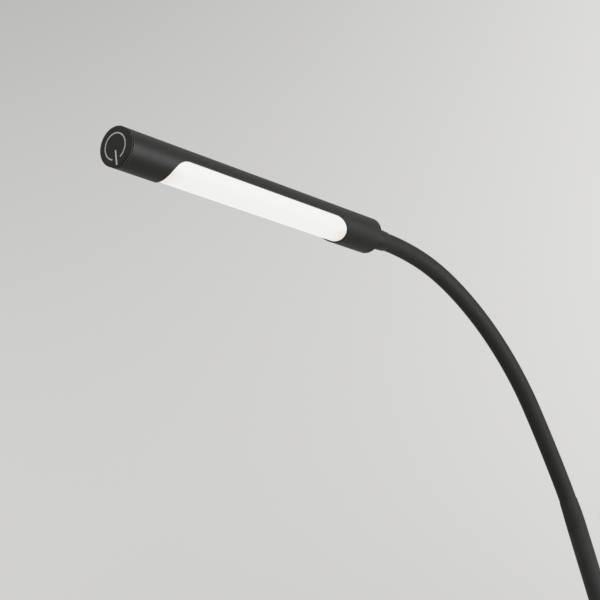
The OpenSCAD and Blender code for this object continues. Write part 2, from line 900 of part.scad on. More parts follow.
// Runs from the neck's end up into the carrier's channel and on to the dimmer
module head_lead() {
    quarter = PI * lead_up / 4;
    bends = 2 * quarter;
    rows = [[cap_t, 0], [quarter, 90], [quarter, -90], [cap_start - lead_up - dimmer_start - lead_back, 0]];
    lead_path(rows, [0, 0, head_len], concat([0], spread(cap_t, cap_t + bends, 24), [total(rows)]));
}

// Feeds the LED board from the underside of the dimmer
module led_lead() {
    level = led_face - lead_r;
    turn = lead_d;
    quarter = PI * turn / 2;
    from = diffuser_start + board_inset + solder_len;
    run = from - dimmer_end;
    rows = [[run, 0], [quarter, 90], [parts_up - level - turn, 0]];
    stops = concat([0], spread(run, run + quarter, 10), [total(rows)]);
    lead_path(rows, [level, 0, from], stops);
}

module dimmer_board() {
    color("#2f6b45")
        in_head()
            translate([parts_up, -board_w / 2, dimmer_start])
                cube([board_t, board_w, dimmer_end - dimmer_start]);
}

module dimmer_parts() {
    first = dimmer_start + part_inset;
    color("#1f1f1f")
        in_head() {
            translate([parts_up - chip_size[0], part_inset - board_w / 2, first])
                cube(chip_size);
            for (k = [0, 1])
                translate([parts_up - can_h, board_w / 2 - can_d, first + can_d + k * can_pitch])
                    rotate([0, 90, 0])
                        cylinder(h = can_h, r = can_d / 2);
        }
}

module switch_board() {
    color("#2f6b45")
        in_head()
            translate([0, 0, switch_base])
                cylinder(h = board_t, r = inner_r);
}

module switch_body() {
    color("#333333")
        in_head()
            translate([0, 0, switch_face])
                difference() {
                    translate([-switch_side / 2, -switch_side / 2, 0])
                        cube([switch_side, switch_side, switch_h]);
                    translate([0, 0, -over])
                        cylinder(h = switch_h - switch_floor + over, r = plunger_d / 2 + run_gap);
                }
}

module switch_plunger() {
    plunger_end = switch_base - switch_floor - plunger_gap - button_travel;
    color("#e8e4da")
        in_head()
            translate([0, 0, stem_end])
                cylinder(h = plunger_end - stem_end, r = plunger_d / 2);
}

// Fixed in the tube: guides the stem, holds the spring and the switch's board
module button_guide() {
    color("#3a3a3a")
        in_head()
            difference() {
                translate([0, 0, guide_start])
                    cylinder(h = switch_base - guide_start, r = inner_r);
                translate([0, 0, guide_end])
                    cylinder(h = skirt_len + over, r = inner_r - skirt_wall);
                translate([0, 0, guide_start - over])
                    cylinder(h = guide_t + 2 * over, r = stem_r + run_gap);
                translate([0, 0, guide_start - over])
                    cylinder(h = pocket_depth + over, r = pocket_r);
            }
}

// Wound wire from the button's back to the floor of the guide's pocket
module button_spring() {
    steps = 24;
    sides = 6;
    wire_r = wire_d / 2;
    low = button_t + wire_r + soft_gap / 2;
    high = spring_floor - wire_r - soft_gap / 2;
    turns = [for (i = [0 : spring_turns * steps]) i / steps];
    rings = [for (v = turns) let (z = low + (high - low) * v / spring_turns) [
        for (j = [0 : sides - 1])
            let (r = spring_d / 2 + wire_r * cos(360 * j / sides))
            [r * cos(360 * v), r * sin(360 * v), z + wire_r * sin(360 * j / sides)]]];
    color("#d0d3d4")
        in_head()
            ringed_rod(rings);
}

module power_button() {
    color("#2b2b2a")
        in_head()
            difference() {
                union() {
                    mirror([0, 0, 1])
                        rounded_disc(head_r, -button_t, 0, button_round);
                    translate([0, 0, button_t - over])
                        cylinder(h = stem_end - button_t + over, r = stem_r);
                }
                translate([0, 0, clip_start - seat_gap])
                    ring(stem_r + over, groove_r, clip_t + 2 * seat_gap);
                symbol_shape(symbol_line + 2 * seat_gap, symbol_depth, over);
            }
}

// Broken ring and bar of the power symbol, from the button's face inwards
module symbol_shape(line, depth, front) {
    rotate([0, 0, 180 + symbol_turn])
        translate([0, 0, -front]) {
            rotate([0, 0, symbol_opening / 2])
                rotate_extrude(angle = 360 - symbol_opening)
                    translate([symbol_r - line / 2, 0])
                        square([line, depth + front]);
            translate([symbol_bar[0], -line / 2, 0])
                cube([symbol_bar[1] - symbol_bar[0], line, depth + front]);
        }
}

module button_symbol() {
    color("#e4e4e1")
        in_head()
            symbol_shape(symbol_line, symbol_depth - seat_gap, 0);
}

// Clip in the stem's groove behind the guide, open on one side
module button_clip() {
    color("#9fa2a3")
        in_head()
            translate([0, 0, clip_start])
                difference() {
                    ring(clip_d / 2, groove_r + seat_gap, clip_t);
                    translate([0, -groove_r, -over])
                        cube([clip_d, 2 * groove_r, clip_t + 2 * over]);
                }
}

base_cover();
base_weight();
base_plate();
base_pad();
base_screws();
cord_grommet();
terminal_block();
pole_washer();
pole_nut();
pole_lower();
pole_middle();
pole_upper();
pole_studs();
pole_inserts();
pole_lead();
neck_lower_fitting();
neck_lower_cuff();
neck_link(1);  // neck_link_01
neck_link(2);  // neck_link_02
neck_link(3);  // neck_link_03
neck_link(4);  // neck_link_04
neck_link(5);  // neck_link_05
neck_link(6);  // neck_link_06
neck_link(7);  // neck_link_07
neck_link(8);  // neck_link_08
neck_link(9);  // neck_link_09
neck_link(10);  // neck_link_10
neck_link(11);  // neck_link_11
neck_link(12);  // neck_link_12
neck_link(13);  // neck_link_13
neck_link(14);  // neck_link_14
neck_link(15);  // neck_link_15
neck_upper_fitting();
neck_upper_collar();
neck_sleeve();
neck_lead();
head_tube();
rear_cap();
rear_cap_screws();
rear_set_screw();
led_carrier();
led_board();
led_chips();
diffuser();
front_end_block();
rear_end_block();
head_lead();
led_lead();
dimmer_board();
dimmer_parts();
switch_board();
switch_body();
switch_plunger();
button_guide();
button_spring();
power_button();
button_symbol();
button_clip();
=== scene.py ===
import bpy
import json
import math
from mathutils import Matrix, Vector


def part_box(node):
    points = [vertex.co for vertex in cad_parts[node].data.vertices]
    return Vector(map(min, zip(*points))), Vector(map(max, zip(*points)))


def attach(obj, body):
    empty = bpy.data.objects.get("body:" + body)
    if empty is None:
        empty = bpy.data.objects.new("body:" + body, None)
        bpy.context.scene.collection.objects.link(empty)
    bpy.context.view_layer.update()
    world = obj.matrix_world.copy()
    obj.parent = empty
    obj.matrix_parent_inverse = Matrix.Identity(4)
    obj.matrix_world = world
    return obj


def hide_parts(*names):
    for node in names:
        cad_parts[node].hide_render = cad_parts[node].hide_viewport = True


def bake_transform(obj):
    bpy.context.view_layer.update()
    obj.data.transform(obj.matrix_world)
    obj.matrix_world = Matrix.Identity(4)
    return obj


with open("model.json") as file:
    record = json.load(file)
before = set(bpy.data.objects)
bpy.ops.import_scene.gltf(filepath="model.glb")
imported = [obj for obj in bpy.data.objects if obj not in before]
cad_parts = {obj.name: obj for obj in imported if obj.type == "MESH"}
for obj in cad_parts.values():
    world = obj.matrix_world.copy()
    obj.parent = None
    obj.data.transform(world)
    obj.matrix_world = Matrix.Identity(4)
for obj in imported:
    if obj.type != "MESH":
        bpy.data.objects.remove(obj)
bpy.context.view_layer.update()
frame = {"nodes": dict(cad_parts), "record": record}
nodes = frame["nodes"]
slots = {row["node"]: row["material_slot"] for row in frame["record"]["subparts"]}
scene = bpy.context.scene


def deselectAll():
    if bpy.context.object and bpy.context.object.mode != "OBJECT":
        bpy.ops.object.mode_set(mode="OBJECT")
    bpy.ops.object.select_all(action="DESELECT")


def makeActive(piece):
    deselectAll()
    piece.select_set(True)
    bpy.context.view_layer.objects.active = piece


def bakePlace(piece):
    makeActive(piece)
    bpy.ops.object.transform_apply(location=True, rotation=True, scale=True)


def newest(name):
    piece = bpy.context.object
    piece.name = name
    piece.data.name = name
    return piece


def degrees(*values):
    return [math.radians(v) for v in values]


def editMesh(piece, kind="EDGE"):
    makeActive(piece)
    bpy.ops.object.mode_set(mode="EDIT")
    bpy.ops.mesh.select_mode(type=kind)
    bpy.ops.mesh.select_all(action="DESELECT")


# selects the vertices, edges or faces whose middle passes the test
def pick(piece, kind, test):
    bpy.ops.object.mode_set(mode="OBJECT")
    mesh = piece.data
    rows = {"VERT": mesh.vertices, "EDGE": mesh.edges, "FACE": mesh.polygons}[kind]
    for row in rows:
        corners = [row.index] if kind == "VERT" else row.vertices
        middle = sum((mesh.vertices[v].co for v in corners), Vector()) / len(corners)
        row.select = bool(test(middle))
    bpy.ops.object.mode_set(mode="EDIT")


def applyModifier(piece, kind, **settings):
    makeActive(piece)
    modifier = piece.modifiers.new(kind.lower(), kind)
    for name, value in settings.items():
        setattr(modifier, name, value)
    bpy.ops.object.modifier_apply(modifier=modifier.name)


def cutAway(piece, cutter):
    applyModifier(piece, "BOOLEAN", operation="DIFFERENCE", solver="EXACT", object=cutter)
    bpy.data.objects.remove(cutter, do_unlink=True)


def closeUp(piece):
    bpy.ops.mesh.select_all(action="SELECT")
    bpy.ops.mesh.normals_make_consistent(inside=False)
    bpy.ops.object.mode_set(mode="OBJECT")


def smooth(piece, angle=35):
    makeActive(piece)
    bpy.ops.object.shade_smooth_by_angle(angle=math.radians(angle))


# part of a circle in an outline, from one angle to another
def roundCorner(distance, radius, size, first, last, steps=5):
    angles = [math.radians(first + (last - first) * i / steps) for i in range(steps + 1)]
    return [(distance + size * math.cos(a), radius + size * math.sin(a)) for a in angles]


# turns a piece along an axis, as on a lathe: each row of the outline is a distance and a radius in mm
def turnPiece(name, start, axis, outline, sides=96, bored=False):
    start, axis = Vector(start), Vector(axis)
    distance, radius = outline[0]
    deselectAll()
    bpy.ops.mesh.primitive_circle_add(vertices=sides, radius=radius / 1000,
                                      location=start + axis * distance / 1000,
                                      rotation=axis.to_track_quat("Z", "Y").to_euler())
    piece = newest(name)
    bakePlace(piece)
    editMesh(piece)
    bpy.ops.mesh.select_all(action="SELECT")
    if not bored:
        bpy.ops.mesh.edge_face_add()
    for here, there in zip(outline, outline[1:]):
        move = axis * (there[0] - here[0]) / 1000
        bpy.ops.mesh.extrude_region_move(TRANSFORM_OT_translate={"value": move})
        middle = start + axis * there[0] / 1000
        bpy.ops.transform.resize(value=[there[1] / here[1]] * 3, center_override=middle)
    if bored:
        bpy.ops.mesh.select_all(action="SELECT")
        bpy.ops.mesh.region_to_loop()
        bpy.ops.mesh.bridge_edge_loops()
    closeUp(piece)
    return piece


def copyPiece(piece, name, move):
    makeActive(piece)
    bpy.ops.object.duplicate(linked=False)
    bpy.ops.transform.translate(value=move)
    twin = newest(name)
    bakePlace(twin)
    return twin


# gives a finished piece its finish, the body that carries it and the CAD nodes that it stands for
def dress(piece, body, *replaced, look=None):
    slot = slots[replaced[0]]
    piece.data.materials.clear()
    piece.data.materials.append(finishes[look or slot])
    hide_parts(*replaced)
    if body:
        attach(piece, body)


# the photograph's camera, solved from the outlines of the head, the neck and the pole
camera = {
    "place": (-1.194827, -0.600518, 0.848852),
    "turn": (113.88, 12.859, -50.1793),  # degrees
    "lens": 98.4,
    "sensor": 36,
    "nearest": 0.05,
    "farthest": 50,
}
deselectAll()
bpy.ops.object.camera_add(location=camera["place"], rotation=degrees(*camera["turn"]))
cam = newest("camera")
cam.data.lens = camera["lens"]
cam.data.sensor_width = camera["sensor"]
cam.data.clip_start = camera["nearest"]
cam.data.clip_end = camera["farthest"]
scene.camera = cam
scene.view_settings.view_transform = "Standard"
print("camera placed")

studio = {
    "floorSize": 16.0,
    "floorColor": (0.62, 0.615, 0.6, 1),
    "floorSeen": (0.3, 0.298, 0.292, 1),  # what the camera sees of the floor's own colour
    "floorRough": 0.8,
    "floorLift": 0.36,  # paleness that only the camera sees
    "floorFade": (1.5, 6.5),  # distances over which the floor fades into the wall
    "ambient": 0.42,  # how brightly the room lights the lamp
    "lightTone": (1, 0.995, 0.98, 1),
    "sight": (0.76, 0.51637, 0.39467),  # the photograph's line of sight
    "right": (0.62433, -0.74879, -0.22255),  # to the right in the photograph
    "down": (0.18061, 0.41554, -0.89146),  # downwards in the photograph
    "wallTone": (1.008, 1.0, 0.982),
    "wallLevel": 0.643,  # brightness of the far wall in the middle of the view
    "wallRight": (0.346, 0.791),  # how fast it grows to the right, and how fast that grows
    "wallDown": (0.147, -1.165),  # the same downwards
    "wallTwist": -1.397,  # how the growth to the right changes downwards
    "wallReach": 0.2,  # how far from the middle of the view it goes on changing
    "wallPlain": 0.6,  # brightness of the walls that the photograph doesn't show
    "plainBand": (0.95, 0.6),  # cosines from the line of sight between which they fade in
    "wallMirrored": 0.6,  # how bright the far wall is in reflections
    "roomMirrored": 0.38,  # how bright the rest of the room is in reflections
    "mirrorBand": (0.75, -0.1),  # cosines between which the one fades into the other
    "lightAim": (-0.3, 0, 1.33),
    "keyPlace": (0.15, -1.3, 0.85),
    "keySize": (1.0, 1.2),
    "keyPower": 6.0,
    "keySpread": 120,  # degrees, so that the key keeps off the floor
    "fillPlace": (-1.2, -0.9, 3.1),
    "fillSize": (1.8, 1.8),
    "fillPower": 8,
}


def mathNode(tree, operation, *values):
    node = tree.nodes.new("ShaderNodeMath")
    node.operation = operation
    for socket, value in zip(node.inputs, values):
        if hasattr(value, "is_output"):
            tree.links.new(value, socket)
        else:
            socket.default_value = value
    return node.outputs[0]


# how far the ray goes along one direction of the room
def rayShare(tree, direction):
    coords = tree.nodes.new("ShaderNodeTexCoord")
    along = tree.nodes.new("ShaderNodeVectorMath")
    along.operation = "DOT_PRODUCT"
    along.inputs[1].default_value = direction
    tree.links.new(coords.outputs["Generated"], along.inputs[0])
    return along.outputs["Value"]


def kept(tree, value, reach):
    return mathNode(tree, "MINIMUM", mathNode(tree, "MAXIMUM", value, -reach), reach)


world = bpy.data.worlds.new("room")
scene.world = world
world.use_nodes = True
tree = world.node_tree
tree.nodes.clear()
# the far wall grows lighter to the right and downwards
across = kept(tree, rayShare(tree, studio["right"]), studio["wallReach"])
down = kept(tree, rayShare(tree, studio["down"]), studio["wallReach"])
acrossSlope = mathNode(tree, "MULTIPLY_ADD", across, studio["wallRight"][1], studio["wallRight"][0])
acrossSlope = mathNode(tree, "MULTIPLY_ADD", down, studio["wallTwist"], acrossSlope)
downSlope = mathNode(tree, "MULTIPLY_ADD", down, studio["wallDown"][1], studio["wallDown"][0])
level = mathNode(tree, "MULTIPLY_ADD", across, acrossSlope, studio["wallLevel"])
level = mathNode(tree, "MULTIPLY_ADD", down, downSlope, level)
rays = tree.nodes.new("ShaderNodeLightPath")
# other directions, which the photograph doesn't show, have a plain wall
aside = tree.nodes.new("ShaderNodeMapRange")
aside.interpolation_type = "SMOOTHSTEP"
aside.inputs["From Min"].default_value = studio["plainBand"][0]
aside.inputs["From Max"].default_value = studio["plainBand"][1]
tree.links.new(rayShare(tree, studio["sight"]), aside.inputs["Value"])
seenAside = mathNode(tree, "MULTIPLY", aside.outputs["Result"], rays.outputs["Is Camera Ray"])
toPlain = mathNode(tree, "SUBTRACT", studio["wallPlain"], level)
level = mathNode(tree, "MULTIPLY_ADD", seenAside, toPlain, level)
# a reflection shows the far wall bright and the rest of the room dimmer
behind = tree.nodes.new("ShaderNodeMapRange")
behind.inputs["From Min"].default_value = studio["mirrorBand"][0]
behind.inputs["From Max"].default_value = studio["mirrorBand"][1]
behind.inputs["To Min"].default_value = 1 - studio["wallMirrored"]
behind.inputs["To Max"].default_value = 1 - studio["roomMirrored"]
tree.links.new(rayShare(tree, studio["sight"]), behind.inputs["Value"])
dimming = mathNode(tree, "MULTIPLY", behind.outputs["Result"], rays.outputs["Is Glossy Ray"])
level = mathNode(tree, "MULTIPLY", level, mathNode(tree, "SUBTRACT", 1, dimming))
tint = tree.nodes.new("ShaderNodeCombineColor")
for socket, share in zip(tint.inputs, studio["wallTone"]):
    tree.links.new(mathNode(tree, "MULTIPLY", level, share), socket)
wall = tree.nodes.new("ShaderNodeBackground")
tree.links.new(tint.outputs["Color"], wall.inputs["Color"])
roomLight = tree.nodes.new("ShaderNodeBackground")
roomLight.inputs["Color"].default_value = studio["lightTone"]
roomLight.inputs["Strength"].default_value = studio["ambient"]
seen = mathNode(tree, "MAXIMUM", rays.outputs["Is Camera Ray"], rays.outputs["Is Transmission Ray"])
seen = mathNode(tree, "MAXIMUM", seen, rays.outputs["Is Glossy Ray"])
which = tree.nodes.new("ShaderNodeMixShader")
tree.links.new(seen, which.inputs[0])
tree.links.new(roomLight.outputs[0], which.inputs[1])
tree.links.new(wall.outputs[0], which.inputs[2])
worldOut = tree.nodes.new("ShaderNodeOutputWorld")
tree.links.new(which.outputs[0], worldOut.inputs["Surface"])


def addSoftbox(name, place, aim, size, power, spread=180):
    deselectAll()
    facing = (Vector(aim) - Vector(place)).to_track_quat("-Z", "Y").to_euler()
    bpy.ops.object.light_add(type="AREA", location=place, rotation=facing)
    box = newest(name)
    box.data.shape = "RECTANGLE"
    box.data.size, box.data.size_y = size
    box.data.energy = power
    box.data.spread = math.radians(spread)


# the floor looks as pale as the wall, keeps the lamp's shadow and fades into the wall far out
deselectAll()
bpy.ops.mesh.primitive_plane_add(size=studio["floorSize"], location=(0, 0, 0))
floor = newest("floor")
floorPaint = bpy.data.materials.new("floorPaint")
floorPaint.use_nodes = True
tree = floorPaint.node_tree
paint = tree.nodes["Principled BSDF"]
rays = tree.nodes.new("ShaderNodeLightPath")
shade = tree.nodes.new("ShaderNodeMix")
shade.data_type = "RGBA"
shade.inputs["A"].default_value = studio["floorColor"]
shade.inputs["B"].default_value = studio["floorSeen"]
tree.links.new(rays.outputs["Is Camera Ray"], shade.inputs["Factor"])
tree.links.new(shade.outputs["Result"], paint.inputs["Base Color"])
paint.inputs["Roughness"].default_value = studio["floorRough"]
lift = tree.nodes.new("ShaderNodeEmission")
lift.inputs["Color"].default_value = studio["lightTone"]
liftSeen = mathNode(tree, "MULTIPLY", rays.outputs["Is Camera Ray"], studio["floorLift"])
tree.links.new(liftSeen, lift.inputs["Strength"])
lit = tree.nodes.new("ShaderNodeAddShader")
tree.links.new(paint.outputs["BSDF"], lit.inputs[0])
tree.links.new(lift.outputs["Emission"], lit.inputs[1])
coords = tree.nodes.new("ShaderNodeTexCoord")
reach = tree.nodes.new("ShaderNodeVectorMath")
reach.operation = "LENGTH"
tree.links.new(coords.outputs["Object"], reach.inputs[0])
fade = tree.nodes.new("ShaderNodeMapRange")
fade.interpolation_type = "SMOOTHSTEP"
fade.inputs["From Min"].default_value = studio["floorFade"][0]
fade.inputs["From Max"].default_value = studio["floorFade"][1]
tree.links.new(reach.outputs["Value"], fade.inputs["Value"])
clear = tree.nodes.new("ShaderNodeBsdfTransparent")
rim = tree.nodes.new("ShaderNodeMixShader")
tree.links.new(fade.outputs["Result"], rim.inputs[0])
tree.links.new(lit.outputs["Shader"], rim.inputs[1])
tree.links.new(clear.outputs["BSDF"], rim.inputs[2])
tree.links.new(rim.outputs["Shader"], tree.nodes["Material Output"].inputs["Surface"])
floor.data.materials.append(floorPaint)
addSoftbox("keySoftbox", studio["keyPlace"], studio["lightAim"], studio["keySize"], studio["keyPower"],
           studio["keySpread"])
addSoftbox("fillSoftbox", studio["fillPlace"], studio["lightAim"], studio["fillSize"], studio["fillPower"])
print("room and lights ready")


# a finish has mottled colour, uneven roughness and a fine grain, all on object coordinates
def finish(name, look):
    material = bpy.data.materials.new(name)
    material.use_nodes = True
    tree = material.node_tree
    shader = tree.nodes["Principled BSDF"]
    coords = tree.nodes.new("ShaderNodeTexCoord")
    place = tree.nodes.new("ShaderNodeMapping")
    place.inputs["Scale"].default_value = look.get("stretch", (1, 1, 1))
    tree.links.new(coords.outputs["Object"], place.inputs["Vector"])

    def noise(scale, detail=3):
        node = tree.nodes.new("ShaderNodeTexNoise")
        node.inputs["Scale"].default_value = scale
        node.inputs["Detail"].default_value = detail
        node.inputs["Roughness"].default_value = 0.6
        tree.links.new(place.outputs["Vector"], node.inputs["Vector"])
        return node.outputs["Fac"]

    # noise stays mostly between 0.3 and 0.7
    def spread(value, low, high):
        node = tree.nodes.new("ShaderNodeMapRange")
        node.inputs["From Min"].default_value = 0.3
        node.inputs["From Max"].default_value = 0.7
        node.inputs["To Min"].default_value = low
        node.inputs["To Max"].default_value = high
        tree.links.new(value, node.inputs["Value"])
        return node.outputs["Result"]

    mottle = tree.nodes.new("ShaderNodeMix")
    mottle.data_type = "RGBA"
    mottle.inputs["A"].default_value = (*look["color"], 1)
    mottle.inputs["B"].default_value = (*look.get("color2", look["color"]), 1)
    tree.links.new(spread(noise(look.get("mottleScale", 60)), 0, 1), mottle.inputs["Factor"])
    paint = mottle.outputs["Result"]
    # painted highlights: bands across X in a lighter colour
    for first, last, color in look.get("bands", []):
        along = tree.nodes.new("ShaderNodeSeparateXYZ")
        tree.links.new(coords.outputs["Object"], along.inputs["Vector"])
        inside = mathNode(tree, "COMPARE", along.outputs["X"], (first + last) / 2, (last - first) / 2)
        band = tree.nodes.new("ShaderNodeMix")
        band.data_type = "RGBA"
        tree.links.new(inside, band.inputs["Factor"])
        tree.links.new(paint, band.inputs["A"])
        band.inputs["B"].default_value = (*color, 1)
        paint = band.outputs["Result"]
    tree.links.new(paint, shader.inputs["Base Color"])
    tree.links.new(spread(noise(140, detail=4), *look["rough"]), shader.inputs["Roughness"])
    shader.inputs["Metallic"].default_value = look.get("metal", 0)
    shader.inputs["Specular IOR Level"].default_value = look.get("specular", 0.5)
    grain = tree.nodes.new("ShaderNodeBump")
    grain.inputs["Strength"].default_value = look.get("grain", 0.2)
    grain.inputs["Distance"].default_value = look.get("grainDepth", 0.0001)
    tree.links.new(noise(look.get("grainScale", 1500)), grain.inputs["Height"])
    tree.links.new(grain.outputs["Normal"], shader.inputs["Normal"])
    return material


looks = {
    "black_powder_coat": {
        "color": (0.0155, 0.0154, 0.0147), "color2": (0.018, 0.0179, 0.017), "rough": (0.4, 0.47),
        "specular": 0.56, "mottleScale": 90, "grain": 0.25, "grainScale": 2600, "grainDepth": 0.00004,
    },
    # the pole's copy of the black powder coat: rougher, and painted lighter than the head's, as painted
    # light for the light that falls on the pole
    "pole_coat_painted_lighter": {
        "color": (0.0255, 0.0253, 0.0243), "color2": (0.029, 0.0288, 0.0277), "rough": (0.52, 0.6),
        "specular": 0.56, "mottleScale": 90, "grain": 0.25, "grainScale": 2600, "grainDepth": 0.00004,
    },
    "black_button": {
        "color": (0.014, 0.014, 0.0135), "color2": (0.017, 0.017, 0.0164), "rough": (0.62, 0.7),
        "specular": 0.2, "mottleScale": 120, "grain": 0.25, "grainScale": 2800, "grainDepth": 0.00004,
    },
    "black_rubber": {
        "color": (0.0225, 0.0225, 0.0218), "color2": (0.0265, 0.0265, 0.0256), "rough": (0.6, 0.68),
        "specular": 0.45, "mottleScale": 70, "grain": 0.3, "grainScale": 1900, "grainDepth": 0.00006,
    },
    "black_soft_cuff": {
        "color": (0.027, 0.027, 0.0262), "color2": (0.032, 0.032, 0.031), "rough": (0.62, 0.7),
        "specular": 0.45, "mottleScale": 80, "grain": 0.3, "grainScale": 1700, "grainDepth": 0.00006,
    },
    "black_grommet": {
        "color": (0.018, 0.018, 0.0175), "color2": (0.025, 0.025, 0.024), "rough": (0.55, 0.7),
        "grain": 0.35, "grainScale": 1600, "grainDepth": 0.00008,
    },
    "black_foam": {
        "color": (0.012, 0.012, 0.012), "color2": (0.022, 0.022, 0.022), "rough": (0.85, 0.97),
        "mottleScale": 700, "grain": 0.8, "grainScale": 900, "grainDepth": 0.0004,
    },
    "symbol_grey": {
        "color": (0.86, 0.86, 0.84), "color2": (0.9, 0.9, 0.88), "rough": (0.45, 0.55),
        "mottleScale": 500, "grain": 0.15, "grainScale": 2500, "grainDepth": 0.00003,
    },
    "cast_weight": {
        "color": (0.05, 0.05, 0.048), "color2": (0.095, 0.09, 0.085), "rough": (0.6, 0.85),
        "metal": 0.6, "mottleScale": 180, "grain": 0.7, "grainScale": 420, "grainDepth": 0.0005,
    },
    "zinc_steel": {
        "color": (0.4, 0.41, 0.42), "color2": (0.5, 0.51, 0.5), "rough": (0.28, 0.45), "metal": 1,
        "mottleScale": 220, "grain": 0.2, "grainScale": 900, "grainDepth": 0.00008,
    },
    "turned_steel": {
        "color": (0.42, 0.42, 0.42), "color2": (0.5, 0.5, 0.5), "rough": (0.22, 0.4), "metal": 1,
        "stretch": (0.15, 0.15, 4), "grain": 0.3, "grainScale": 700, "grainDepth": 0.00008,
    },
    "small_steel": {
        "color": (0.36, 0.36, 0.36), "color2": (0.46, 0.46, 0.46), "rough": (0.25, 0.42), "metal": 1,
        "mottleScale": 400, "grain": 0.2, "grainScale": 1600, "grainDepth": 0.00005,
    },
    "link_steel": {
        "color": (0.4, 0.4, 0.4), "color2": (0.48, 0.48, 0.48), "rough": (0.22, 0.4), "metal": 1,
        "mottleScale": 300, "grain": 0.25, "grainScale": 1200, "grainDepth": 0.00006,
    },
    "cream_block": {
        "color": (0.62, 0.59, 0.5), "color2": (0.7, 0.67, 0.58), "rough": (0.35, 0.5),
        "mottleScale": 150,
    },
    "lead_sleeve": {
        "color": (0.6, 0.59, 0.55), "color2": (0.68, 0.67, 0.62), "rough": (0.38, 0.5),
        "mottleScale": 300,
    },
    "carrier_aluminium": {
        "color": (0.55, 0.56, 0.57), "color2": (0.65, 0.66, 0.66), "rough": (0.25, 0.4), "metal": 1,
        "stretch": (0.1, 3, 3), "grain": 0.3, "grainScale": 600, "grainDepth": 0.00006,
    },
    "white_board": {
        "color": (0.78, 0.78, 0.74), "color2": (0.84, 0.84, 0.8), "rough": (0.3, 0.4),
        "mottleScale": 200,
    },
    "led_phosphor": {
        "color": (0.85, 0.66, 0.12), "color2": (0.92, 0.75, 0.2), "rough": (0.3, 0.45),
        "mottleScale": 900,
    },
    "dark_plastic": {
        "color": (0.03, 0.03, 0.03), "color2": (0.042, 0.042, 0.042), "rough": (0.45, 0.6),
        "grainScale": 1300,
    },
    "green_board": {
        "color": (0.02, 0.11, 0.045), "color2": (0.03, 0.15, 0.06), "rough": (0.25, 0.38),
        "mottleScale": 350,
    },
    "component_black": {
        "color": (0.014, 0.014, 0.014), "color2": (0.022, 0.022, 0.022), "rough": (0.4, 0.55),
    },
    "plunger_plastic": {
        "color": (0.62, 0.6, 0.54), "color2": (0.7, 0.68, 0.62), "rough": (0.35, 0.5),
    },
}
# the gap between the button's cap and the head's tube, in mm from the button's face
seam = {"start": 2.5, "end": 3.25}
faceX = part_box("power_button")[0][0]
capEnd = faceX + seam["start"] / 1000
tubeStart = faceX + seam["end"] / 1000
# painted highlights: the button's face is painted lighter than its side, and a thin line at the cap's rear
# edge is painted light, where they catch more light
looks["black_button"]["bands"] = [
    (faceX - 0.0001, faceX + 0.0002, (0.056, 0.056, 0.054)),
    (capEnd - 0.0005, capEnd - 0.0001, (0.15, 0.15, 0.147)),
]
# a thin painted highlight on the front edge of the head's tube, beside the seam
looks["black_powder_coat"]["bands"] = [
    (tubeStart + 0.0001, tubeStart + 0.0005, (0.075, 0.075, 0.073)),
]
finishes = {name: finish(name, look) for name, look in looks.items()}

# the lit diffuser, a little warmer low down towards its ends
diffuserLook = {
    "color": (0.07, 0.069, 0.068, 1),
    "rough": 0.45,
    "specular": 0.2,
    "glow": 0.832,
    "middleTone": (1.0, 0.998, 0.99, 1),
    "endTone": (0.97, 0.9, 0.84, 1),  # the glow is warmer where the LEDs stop
    "endLength": 0.016,
    "endInset": 0.005,
    "lowBand": (0.004, 0.002),  # it sets in this far below the middle and is full this far above the bottom
    "cloudScale": 35,
    "haze": 0.06,
}
opal = bpy.data.materials.new("opal_diffuser")
opal.use_nodes = True
tree = opal.node_tree
opalShader = tree.nodes["Principled BSDF"]
opalShader.inputs["Base Color"].default_value = diffuserLook["color"]
opalShader.inputs["Roughness"].default_value = diffuserLook["rough"]
opalShader.inputs["Specular IOR Level"].default_value = diffuserLook["specular"]
opalShader.inputs["Emission Strength"].default_value = diffuserLook["glow"]
low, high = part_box("diffuser")
coords = tree.nodes.new("ShaderNodeTexCoord")
apart = tree.nodes.new("ShaderNodeSeparateXYZ")
tree.links.new(coords.outputs["Object"], apart.inputs["Vector"])
fromMiddle = mathNode(tree, "SUBTRACT", apart.outputs["X"], (low[0] + high[0]) / 2)
fromMiddle = mathNode(tree, "ABSOLUTE", fromMiddle)
warm = tree.nodes.new("ShaderNodeMapRange")
warm.interpolation_type = "SMOOTHSTEP"
warm.inputs["From Max"].default_value = (high[0] - low[0]) / 2 - diffuserLook["endInset"]
warm.inputs["From Min"].default_value = warm.inputs["From Max"].default_value - diffuserLook["endLength"]
tree.links.new(fromMiddle, warm.inputs["Value"])
deep = tree.nodes.new("ShaderNodeMapRange")
deep.interpolation_type = "SMOOTHSTEP"
deep.inputs["From Min"].default_value = (low[2] + high[2]) / 2 - diffuserLook["lowBand"][0]
deep.inputs["From Max"].default_value = low[2] + diffuserLook["lowBand"][1]
tree.links.new(apart.outputs["Z"], deep.inputs["Value"])
cloud = tree.nodes.new("ShaderNodeTexNoise")
cloud.inputs["Scale"].default_value = diffuserLook["cloudScale"]
tree.links.new(coords.outputs["Object"], cloud.inputs["Vector"])
depth = diffuserLook["haze"]
haze = mathNode(tree, "MULTIPLY_ADD", cloud.outputs["Fac"], depth, -depth / 2)
tone = tree.nodes.new("ShaderNodeMix")
tone.data_type = "RGBA"
tone.inputs["A"].default_value = diffuserLook["middleTone"]
tone.inputs["B"].default_value = diffuserLook["endTone"]
glowShare = mathNode(tree, "MULTIPLY", warm.outputs["Result"], deep.outputs["Result"])
tree.links.new(mathNode(tree, "ADD", glowShare, haze), tone.inputs["Factor"])
tree.links.new(tone.outputs["Result"], opalShader.inputs["Emission Color"])
finishes["opal_diffuser"] = opal

for name, slot in slots.items():
    nodes[name].data.materials.clear()
    nodes[name].data.materials.append(finishes[slot])
print("finishes applied")

